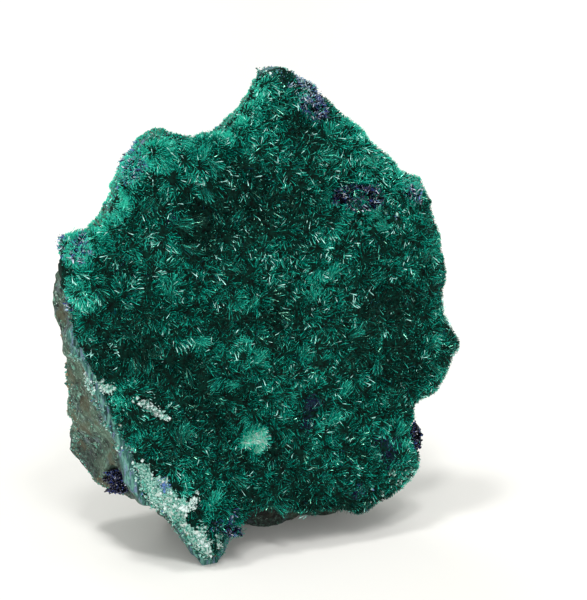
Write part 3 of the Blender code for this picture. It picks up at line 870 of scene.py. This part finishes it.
def plant(name, group):
    """Makes one group of brochantite needles, in pieces of under 190,000 triangles."""
    points, faces, slots = group
    for i, part in enumerate(np.array_split(np.arange(len(faces)), int(np.ceil(len(faces) / MOST_TRIANGLES)))):
        used, numbers = np.unique(faces[part], return_inverse=True)
        piece = build(f"{name}_{i}", [(points[used], numbers.reshape(-1, 3), slots[part])])
        settle(piece, NEEDLE_GLASS, "brochantite", "brochantite_crust")
        print(piece.name, "triangles:", len(piece.data.polygons))


plant("fine_needles", tuft_needles(**FINE))
plant("stout_needles", tuft_needles(**STOUT))
plant("rim_needles", tuft_needles(**RIM, places=upper_rim()))

# %% [markdown]
# What the eye sees first on the real piece are the needles that flash. Their faces mirror a lamp,
# from wherever they are seen, because there are so many. A render has too few faces at the right
# angle for that, so some thin needles with pale painted glints lie on top of the others, more of
# them in light places and near the top. One face of each looks towards the lamps.

# %% Needles with painted glints
PAINTED_GLINT_GROUPS = 3800
PAINTED_GLINT_SHARES = (0.24, 0.26, 0.14, 0.36)
PAINTED_GLINT_LENGTH = (0.4, 1.45)
PAINTED_GLINT_WIDTH = (0.05, 0.08)
BRIGHTEST_WIDER = 1.9
GROUP_SHARES = (0.50, 0.16, 0.12, 0.09, 0.06, 0.04, 0.03)
TOP = 70 * MM
LAMPWARD = unit(np.array([-0.30, -0.80, 0.52]))


def turned(along, way):
    """The turn that makes one of a three-sided needle's faces look that way, as nearly as it can."""
    first, second = across(along)
    return np.arctan2(np.einsum("ij,ij->i", way, second), np.einsum("ij,ij->i", way, first)) - np.pi / 3


def painted_glint_needles():
    """Thin needles with pale painted glints on top of the tufts, from one to seven of them side by side."""
    root, out, tuft = needle_roots(PAINTED_GLINT_GROUPS)
    upwards = 0.60 * root[:, 2] / TOP
    share = 0.10 + 0.35 * tone(root) + 0.45 * wander(root, 2.0 * MM, 71) + upwards
    chosen = rng.random(PAINTED_GLINT_GROUPS) < np.clip(share, 0.03, 1.0)
    root, out, tuft = root[chosen], out[chosen], tuft[chosen]
    factor = edge_factor(out)
    root = root + out * (rng.uniform(0.35, 0.85, len(root)) * factor * MM)[:, None]
    along = unit(needle_ways(root, out, tuft) - 0.45 * out + 0.2 * ball(len(root)))
    number = np.repeat(np.arange(len(root)), rng.choice(np.arange(1, 8), len(root), p=GROUP_SHARES))
    beside = unit(np.cross(along, out))[number] * rng.uniform(-0.9, 0.9, (len(number), 1)) * MM
    before = along[number] * rng.uniform(-0.5, 0.5, (len(number), 1)) * MM * factor[number][:, None]
    root = root[number] + beside + before + 0.15 * MM * ball(len(number))
    along = unit(along[number] + 0.5 * ball(len(number)))
    length = trimmed(root, along, rng.uniform(*PAINTED_GLINT_LENGTH, len(root)) * MM * factor[number])
    body = rng.choice((MINT, PALE, WHITE, PAINTED_GLINT), len(root), p=PAINTED_GLINT_SHARES)
    kept = fits(root, along, length) & thinned(root)
    root, along, length, body = root[kept], along[kept], length[kept], body[kept]
    width = rng.uniform(*PAINTED_GLINT_WIDTH, len(root)) * np.where(body == PAINTED_GLINT, BRIGHTEST_WIDER, 1.0) * MM
    turn = turned(along, LAMPWARD + 0.5 * ball(len(root)))
    return prisms(root, along, length, width, turn, body, body)


plant("painted_glint_needles", painted_glint_needles())

# %% [markdown]
# Here and there the needles lie side by side in a fan, like the hairs of a brush, and shine like
# silk. The plain ones are given by place and by the way that they point, as an angle in the face:
# nought is to the right and 90 is up. Many more are left to chance.

# %% Silky fans
FANS = (
    (-16.4, 40.8, 90), (-14.0, 50.5, -10), (-13.5, 47.5, -35), (8.6, 40.4, 60), (-4.5, 37.6, 70),
    (5.8, 37.6, 110), (-16.0, 20.6, 60), (-12.0, 10.6, 80), (-4.2, 30, 45), (11.1, 31.7, 30),
    (24.1, 27.7, 40), (23, 41.2, 80), (7.8, 18.8, 40), (17.6, 16, 60), (3.6, 29.1, 80), (-19.5, 53, 60),
)
RANDOM_FANS = 36
FAN_NEEDLES = 100
FAN_LENGTH = (1.3, 2.5)
FAN_WIDTH = (0.045, 0.08)
FAN_CHANCE = 1.0


def seat(numbers, x, height):
    """The one of these ground points that is nearest to a place of the face."""
    return numbers[np.argmin(off(ground_points[numbers], x, height))]


def fan_seats():
    """Ground points and axes of the fans, given ones first."""
    front = np.flatnonzero(ground_normals @ FACE_OUT > 0.6)
    seats = [seat(front, x, height) for x, height, _ in FANS]
    seats += list(rng.choice(front, RANDOM_FANS, replace=False))
    angles = np.append(np.radians([angle for _, _, angle in FANS]), rng.uniform(0, 2 * np.pi, RANDOM_FANS))
    up = np.array([0, np.sin(FACE_LEAN), np.cos(FACE_LEAN)])
    axis = np.cos(angles)[:, None] * np.array([1, 0, 0]) + np.sin(angles)[:, None] * up
    return ground_points[seats], unit(axis + 0.55 * ground_normals[seats])


def fan_needles():
    """The needles of all fans."""
    seats, axis = fan_seats()
    number = np.repeat(np.arange(len(seats)), FAN_NEEDLES)
    root = seats[number] + 0.55 * MM * ball(len(number)) + 0.5 * MM * FACE_OUT
    along = unit(axis[number] + DISORDER * ball(len(number)))
    length = trimmed(root, along, rng.uniform(*FAN_LENGTH, len(number)) * MM)
    return grow(root, along, length, rng.uniform(*FAN_WIDTH, len(number)) * MM, FAN_CHANCE)


plant("silky_fans", fan_needles())

# %% [markdown]
# Low down, left of the middle, sits a loose ball of paler needles, like a dandelion clock that has
# lost some of its seeds. It is made of five small balls that run into each other. The needles of
# each point all round from one middle above the ground.

# %% Pale ball
BALL_PLACES = ((-5.0, 19.2, 0.9), (-4.2, 18.2, 0.9), (-4.4, 17.3, 0.6), (-6.3, 18.7, 0.7), (-3.6, 19.6, 0.6))
BALL_NEEDLES = 520
BALL_WIDTH = (0.05, 0.09)
BALL_TINTS = np.array((MILKY, WHITE, PALE, MINT, BRIGHT, MID))
BALL_STEPS = (0.42, 0.55, 0.70, 0.95, 1.25)


def ball_needles(x, height, size):
    """Pale needles that point out of one middle on all sides, the palest in front."""
    front = np.flatnonzero(ground_normals @ FACE_OUT > 0.5)
    middle = ground_points[seat(front, x, height)] + 0.6 * MM * FACE_OUT
    along = unit(ball(BALL_NEEDLES) + 0.3 * FACE_OUT)
    share = rng.random(BALL_NEEDLES)
    root = middle + 0.5 * size * MM * ball(BALL_NEEDLES) + along * rng.uniform(0, 0.6, (BALL_NEEDLES, 1)) * MM
    length = (0.5 + 1.0 * share + 0.4 * wander(middle + along * 2 * MM, 1.2 * MM, 51)) * size * MM
    kept = fits(root, along, length)
    root, along, length, share = root[kept], along[kept], length[kept], share[kept]
    width = rng.uniform(*BALL_WIDTH, len(root)) * MM
    turn = rng.uniform(0, 6.28, len(root))
    value = 0.5 * share + 0.8 * (1 - along @ FACE_OUT) + 0.25 * rng.normal(size=len(root)) + 0.8 * (0.9 - size)
    body = BALL_TINTS[np.digitize(value, BALL_STEPS)]
    return prisms(root, along, length, width, turn, body, body)


pale_ball = build("pale_ball", [ball_needles(*place) for place in BALL_PLACES])
settle(pale_ball, NEEDLE_GLASS, "brochantite", "brochantite_crust")
print("pale ball triangles:", len(pale_ball.data.polygons))

# %% [markdown]
# Azurite is the blue cousin of the green minerals here. It grows as small glassy blades, nearly
# black where they are thick, and lavender or bright blue at thin edges. Each CAD cluster gives the
# form: a dark closed core just inside it, and short blades that stand on it close together. The
# faces of the blades are bright, and hardly any light comes out again from the gaps between them.
# A few blades take a near-white tint as painted glints.

# %% Azurite blades
AZURITE_TINTS = ("#080A1A", "#141A46", "#243A84", "#567CBC", "#B0CCE0")
SHADE = len(AZURITE_TINTS) + 1
BLADES_PER_MM2 = 21
CORE_INSIDE = 0.12
BLADE_FORM = dict(sides=4, flat=0.5, shoulder=0.7, foot=0.9)
# In each list of shares, the last but one tint is azurite's own and the last share is the near-white painted glint.
DARK_SHARES = (0.52, 0.24, 0.09, 0.05, 0.04, 0.06)
DEEP_SHARES = (0.38, 0.32, 0.22, 0.04, 0.01, 0.03)
BLOCKY_SHARES = (0.50, 0.34, 0.13, 0.02, 0.0, 0.01)
LIGHT_SHARES = (0.22, 0.20, 0.18, 0.16, 0.16, 0.08)
BLOCKY = (BLOCKY_SHARES, (0.2, 0.3), (0.15, 0.4))
CLUSTER_BLADES = {
    "azurite_flank": BLOCKY, "azurite_right_edge": BLOCKY, "azurite_tip": (DEEP_SHARES, (0.3, 0.6)),
    "azurite_left_corner": (LIGHT_SHARES,), "azurite_shoulder": (LIGHT_SHARES,), "azurite_top": (LIGHT_SHARES,),
    "azurite_corner": (LIGHT_SHARES,), "azurite_centre": (DARK_SHARES,),
}


def blades(root, along, shares, length=(0.3, 1.0), width=(0.06, 0.2)):
    """Short flat prisms of azurite at these roots."""
    length = trimmed(root, along, rng.uniform(*length, len(root)) * MM)
    kept = fits(root, along, length)
    root, along, length = root[kept], along[kept], length[kept]
    width = rng.uniform(*width, len(root)) * MM
    turn = rng.uniform(0, 2 * np.pi, len(root))
    body = rng.choice(len(shares), len(root), p=shares)
    tip = np.where((rng.random(len(root)) < 0.2) & (body < 4), body + 1, body)
    return prisms(root, along, length, width, turn, body, tip, **BLADE_FORM)


def spread_over(mesh, per_mm2):
    """Random points all over a mesh of triangles, that many to a square millimetre, and the normals there."""
    mesh.calc_loop_triangles()
    corners = np.array([[mesh.vertices[i].co for i in t.vertices] for t in mesh.loop_triangles])
    areas = np.array([t.area for t in mesh.loop_triangles])
    count = int(areas.sum() / MM ** 2 * per_mm2)
    chosen = rng.choice(len(areas), count, p=areas / areas.sum())
    normals = np.array([t.normal for t in mesh.loop_triangles])[chosen]
    shares = rng.dirichlet((1, 1, 1), count)
    return np.einsum("ij,ijk->ik", shares, corners[chosen]), normals


def azurite_core(mesh):
    """The cluster's own form, a little smaller, as the shade between the blades."""
    points, normals = read_mesh(mesh)
    faces = np.array([t.vertices for t in mesh.loop_triangles])
    return points - normals * CORE_INSIDE * MM, faces, np.full(len(faces), SHADE)


def azurite_cluster(node):
    """A core and the blades on it, for one CAD cluster."""
    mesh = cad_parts[node].data
    root, out = spread_over(mesh, BLADES_PER_MM2)
    spread, sunk = (0.5, 0.2) if CLUSTER_BLADES[node] is BLOCKY else (1.2, 0.3)
    along = unit(out + spread * ball(len(root)))
    return [azurite_core(mesh), blades(root - out * sunk * MM, along, *CLUSTER_BLADES[node])]


DARK_GLASS = {"Roughness": 0.25, "IOR": 1.73}
NO_LIGHT = {"Roughness": 0.9, "Specular IOR Level": 0.05}
AZURITE_GLASS = [even_material(f"azurite_{i}", colour, DARK_GLASS) for i, colour in enumerate(AZURITE_TINTS)]
# Painted glints: a near-white azurite tint for a few blades.
AZURITE_GLASS.append(even_material("azurite_painted_glint", "#E4ECFF", DARK_GLASS))
AZURITE_GLASS.append(even_material("azurite_in_shade", "#03060C", NO_LIGHT))
AZURITE_NODES = [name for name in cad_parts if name.startswith("azurite")]
for node in AZURITE_NODES:
    piece = build("blades_" + node, azurite_cluster(node))
    settle(piece, AZURITE_GLASS, "azurite", node)
print("azurite clusters:", len(AZURITE_NODES))

# %% [markdown]
# Blue also shows between the green needles, where single blades grew in the crust. They are given
# by place and radius. At the very top they are pale grey-blue, and lighter on the left than on the
# right.

# %% Blue specks
PALE_SHARES = (0.18, 0.06, 0.06, 0.16, 0.34, 0.20)
PALE_ABOVE = 66
LIGHT_LEFT_OF = -15
SPECK_BLADES = 50
AZURITE_PLACES = (
    (-30.9, 49.4, 1.1), (-30.7, 47.6, 1), (-31, 40.8, 0.8), (-21.5, 59.4, 1.1), (-20.6, 60.6, 1.1),
    (-19.4, 61.6, 0.9), (22.6, 16.8, 1.1), (22.6, 12.8, 1.2), (11.2, 51.4, 1.3), (16.4, 51.8, 1.2),
    (9, 64.4, 0.9), (8.2, 65.6, 0.8), (-9.3, 8, 1), (-11.6, 6.9, 0.9), (11, 8.7, 0.6), (5.6, 68.2, 1.4),
    (6.6, 67.4, 1.6), (7.6, 66.6, 1.6), (8.4, 66.1, 1.2),
)


def around(x, height, radius):
    """Numbers of the front points within radius millimetres of a place, and the distance of them all."""
    away = off(front_points, x, height)
    return np.flatnonzero(away < max(radius, away.min() + 0.5)), away


def azurite_specks():
    """Blades at the places where blue shows, 50 of them where the radius is a millimetre."""
    groups = []
    for x, height, radius in AZURITE_PLACES:
        near = rng.choice(around(x, height, radius)[0], int(SPECK_BLADES * radius ** 2))
        root = front_points[near] + front_normals[near] * rng.uniform(-0.1, 0.35, (len(near), 1)) * MM
        shares = PALE_SHARES if height > PALE_ABOVE else LIGHT_SHARES if x < LIGHT_LEFT_OF else DEEP_SHARES
        groups.append(blades(root + 0.3 * MM * ball(len(near)), unit(front_normals[near] + ball(len(near))), shares))
    return groups


specks = build("azurite_specks", azurite_specks())
settle(specks, AZURITE_GLASS, "azurite", *AZURITE_NODES)
print("triangles in the specks:", len(specks.data.polygons))

# %% [markdown]
# Green needles grew over the azurite from the side, so that its edge isn't a clean line. Noise says
# where, and its threshold says how much of each cluster they cover.

# %% Green needles over the azurite
OVERGROWTH_PER_MM2 = 20
OVERGROWTH_ABOVE = {
    "azurite_flank": 0.9, "azurite_right_edge": 0.9, "azurite_left_corner": -0.8, "azurite_shoulder": -0.4,
    "azurite_corner": -0.6,
}
OVER_LENGTH = (0.6, 1.5)
OVER_WIDTH = (0.05, 0.1)


def overgrowth(node):
    """Green needles that lie over one cluster."""
    root, out = spread_over(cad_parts[node].data, OVERGROWTH_PER_MM2)
    chosen = wander(root, 1.1 * MM, 61) > OVERGROWTH_ABOVE.get(node, 0.3)
    root, out = root[chosen], out[chosen]
    along = unit(0.5 * out + ball(len(root)) + 0.3 * FACE_OUT)
    length = trimmed(root, along, rng.uniform(*OVER_LENGTH, len(root)) * MM)
    return grow(root, along, length, rng.uniform(*OVER_WIDTH, len(root)) * MM)


over_azurite = build("needles_over_azurite", [overgrowth(node) for node in AZURITE_NODES])
settle(over_azurite, NEEDLE_GLASS, "brochantite", "brochantite_crust")
print("triangles over the azurite:", len(over_azurite.data.polygons))

# %% [markdown]
# Where the crust runs out, at the lower left and along its left edge, it ends in grains instead of
# needles: mint-green and white crumbs, a speck of pale blue, and some tan ones. They are grains of
# carbonate or quartz, which scatter light and shine a little. A crumb is an eight-sided lump of
# uneven shape.

# %% Crumbs
CRUMB_COLOURS = ("#E6F8F4", "#A9E0D3", "#58B4A0", "#156052", "#5E86C4", "#8F7F60", "#1A3553")
CRUMBS_PER_MM2 = 50
FINE_SIZES = (0.12, 0.32)
COARSE_SHARE, COARSE_TIMES = 0.1, 2.2
LUMPS = (
    (-17.2, 10.9, 0.9), (-16.6, 10.6, 1.1), (-16.1, 10.2, 1), (-15.6, 9.7, 0.8), (-15, 10.4, 0.7),
    (-14.6, 11.3, 0.7), (-14.2, 12, 0.6), (-14.1, 6.9, 0.5), (-13.5, 6.6, 0.5), (-13, 6.9, 0.45),
    (-13.7, 5.6, 0.8), (-13.3, 4.8, 0.9), (-13.6, 4, 0.7), (-12.8, 3.7, 0.9), (-12.4, 2.9, 0.7),
    (-11.3, 5.2, 0.5), (-20.4, 25.8, 0.6), (-19.9, 25.4, 0.7), (-19.3, 25, 0.6), (-18.8, 24.6, 0.5),
    (-26.3, 29.9, 0.7), (-25.8, 29.2, 0.6), (-27.4, 30.1, 0.6), (-24.9, 28.6, 0.5), (-18.2, 12.8, 0.6),
    (-19.4, 13.2, 0.5),
)


def crumbs(middle, size, slots):
    """Uneven eight-sided lumps."""
    corner = np.array([(1, 0, 0), (0, 1, 0), (-1, 0, 0), (0, -1, 0), (0, 0, 1), (0, 0, -1)], float)
    face = np.array([(0, 1, 4), (1, 2, 4), (2, 3, 4), (3, 0, 4), (1, 0, 5), (2, 1, 5), (3, 2, 5), (0, 3, 5)])
    shaken = corner[None] * rng.uniform(0.6, 1.2, (len(middle), 6, 1)) + 0.3 * ball(len(middle), 6)
    points = inside_box((middle[:, None] + shaken * size[:, None, None] / 2).reshape(-1, 3))
    faces = (face[None] + (np.arange(len(middle)) * 6)[:, None, None]).reshape(-1, 3)
    return points, faces, np.repeat(slots, 8)


def patch_crumbs(x, height, radius, shares):
    """Crumbs scattered over one patch: most of them fine, some coarse."""
    near, away = around(x, height, radius * 1.25)
    count = int(CRUMBS_PER_MM2 * np.pi * radius ** 2)
    chosen = rng.choice(near, count)
    chosen = chosen[away[chosen] < radius * rng.uniform(0.5, 1.25, count)]
    size = rng.uniform(*FINE_SIZES, len(chosen))
    size = size * np.where(rng.random(len(chosen)) < COARSE_SHARE, COARSE_TIMES, 1.0) * MM
    heap = np.clip(1 - (away[chosen] / radius) ** 2, 0, 1)
    lift = rng.uniform(0, 0.25 + 0.45 * heap) * MM
    middle = front_points[chosen] + 0.15 * MM * ball(len(chosen)) + front_normals[chosen] * lift[:, None]
    return crumbs(middle, size, rng.choice(len(shares), len(chosen), p=np.array(shares) / sum(shares)))


def white_lumps():
    """Groups of four coarse white crumbs that make up the bigger lumps."""
    groups = []
    for x, height, size in LUMPS:
        at = np.argmin(off(front_points, x, height))
        middle = front_points[at] + front_normals[at] * 0.3 * size * MM + 0.4 * size * MM * ball(4)
        groups.append(crumbs(middle, rng.uniform(0.6, 0.95, 4) * size * MM, np.zeros(4, int)))
    return groups


GRAIN_GLOSS = {"Roughness": 0.45, "IOR": 1.55}
CRUMB_MATERIALS = [even_material(f"crumb_{i}", colour, GRAIN_GLOSS) for i, colour in enumerate(CRUMB_COLOURS)]
patches = [patch_crumbs(*place) for place in CRUMB_PLACES] + white_lumps()
print("groups of crumbs:", len(patches))

# %% [markdown]
# Crumbs also lie in lines. Some follow the upper rim behind the last needles, dark ones fill the
# groove between the crust and the rock, where their darkness is partly painted shade, and mint and
# teal ones follow the rock's lower left edge, with tan knobs above them. All crumbs together make
# one piece.

# %% Lines of crumbs
EDGE_LINE = (
    (-28.2, 4.8, 26.3), (-27.7, 4.8, 24), (-27.3, 4.8, 21.6), (-27.1, 6.5, 16.8), (-26.3, 6.7, 14.1),
    (-24.2, 5.4, 10.4), (-23.6, 2.1, 10), (-22.4, -3.3, 10.6),
)
EDGE_CRUMBS, EDGE_SIZES = 340, (0.12, 0.38)
EDGE_SHARES = (0.03, 0.17, 0.32, 0.32, 0.0, 0.16, 0.0)
KNOBS = ((-29.2, 3.0, 33.8), (-29.4, 2.6, 34.6), (-28.5, 4.6, 28.4), (-28.3, 4.8, 27.2), (-27.9, 4.8, 25.4))
KNOB_CRUMBS, KNOB_SIZES = 7, (0.4, 0.8)
KNOB_COLOURS = (5, 5, 2, 3)
SEAM_CRUMBS, SEAM_SIZES = 2600, (0.3, 0.7)
# Mostly dark teal and navy, partly as painted shade in the groove.
SEAM_SHARES = (0.01, 0.04, 0.12, 0.66, 0.03, 0.04, 0.10)
RIM_CRUMBS, RIM_SIZES = 2200, (0.14, 0.4)
RIM_DEPTH = (1.8 * MM, 5.5 * MM)
RIM_SHARES = (0.08, 0.17, 0.27, 0.30, 0.07, 0.02, 0.09)


def strewn(middle, sizes, shares):
    """Crumbs of random sizes between two in millimetres, and of random colours by their shares."""
    size = rng.uniform(*sizes, len(middle)) * MM
    return crumbs(middle, size, rng.choice(len(shares), len(middle), p=shares))


def rim_crumbs():
    """The line of crumbs along the upper rim, behind the last needles."""
    points, normals = read_mesh(rock.data)
    behind = depth(points)
    upper = (points[:, 2] > BARE_BELOW) | ((points[:, 0] > 5 * MM) & (points[:, 2] > 20 * MM))
    rim = np.flatnonzero(upper & (behind > RIM_DEPTH[0]) & (behind < RIM_DEPTH[1]) & (normals @ FACE_OUT < 0.5))
    chosen = rng.choice(rim, RIM_CRUMBS)
    middle = points[chosen] + 0.08 * MM * ball(RIM_CRUMBS)
    return strewn(middle, RIM_SIZES, RIM_SHARES)


def seam_crumbs():
    """Dark crumbs that fill the groove between the crust's back and the rock, but not on the bare side; their darkness
    is partly painted shade.
    """
    points, normals = read_mesh(ground.data)
    tree = search_tree(read_mesh(rock.data)[0])
    bare_side = (points[:, 2] < BARE_BELOW) & (points[:, 0] < -20 * MM - 0.2 * points[:, 2])
    seam = np.flatnonzero((depth(points) > -1.6 * MM) & (np.abs(normals @ FACE_OUT) < 0.75) & ~bare_side)
    chosen = rng.choice(seam, SEAM_CRUMBS)
    near = nearest(tree, points[chosen])[0]
    middle = points[chosen] + (near - points[chosen]) * rng.uniform(0, 1, (SEAM_CRUMBS, 1))
    return strewn(middle, SEAM_SIZES, SEAM_SHARES)


def edge_crumbs():
    """A line of mint and teal crumbs along the rock's lower left edge, and tan knobs above it."""
    tree = search_tree(read_mesh(rock.data)[0])
    corners = np.array(EDGE_LINE) * MM
    share = np.sort(rng.uniform(0, len(corners) - 1, EDGE_CRUMBS))
    first = share.astype(int)
    line = corners[first] + (corners[first + 1] - corners[first]) * (share - first)[:, None]
    line = nearest(tree, line + 1.5 * MM * ball(len(line)))[0]
    knobs = np.repeat(np.array(KNOBS) * MM, KNOB_CRUMBS, axis=0)
    knobs = nearest(tree, knobs + 0.45 * MM * ball(len(knobs)))[0]
    return [strewn(line, EDGE_SIZES, EDGE_SHARES),
            crumbs(knobs, rng.uniform(*KNOB_SIZES, len(knobs)) * MM, rng.choice(KNOB_COLOURS, len(knobs)))]


patches += [rim_crumbs()] + edge_crumbs() + [seam_crumbs()]
crumb_piece = build("crumbs", patches)
crumb_piece.data.polygons.foreach_set("use_smooth", np.ones(len(crumb_piece.data.polygons), bool))
settle(crumb_piece, CRUMB_MATERIALS, "brochantite", "brochantite_crust")
print("crumb triangles:", len(crumb_piece.data.polygons))

# %% [markdown]
# Between the crumbs at the lower left the ground shows. It isn't dark felt there but a crust of the
# same mint and white grains, so those faces take the ground's second material.

# %% Ground between the crumbs


def paint_ground():
    """Gives the ground its crust of crumbs where the crumbs lie."""
    middles = np.empty(len(ground.data.polygons) * 3)
    ground.data.polygons.foreach_get("center", middles)
    middles = middles.reshape(-1, 3)
    lower_left = middles[:, 0] < -8 * MM
    ragged = crumb_cover(middles) + 0.3 * wander(middles, 0.8 * MM, 41)
    slots = (lower_left & (ragged > 0.55)).astype(np.int32)
    ground.data.polygons.foreach_set("material_index", slots)
    return int(slots.sum())


print("ground faces under crumbs:", paint_ground())
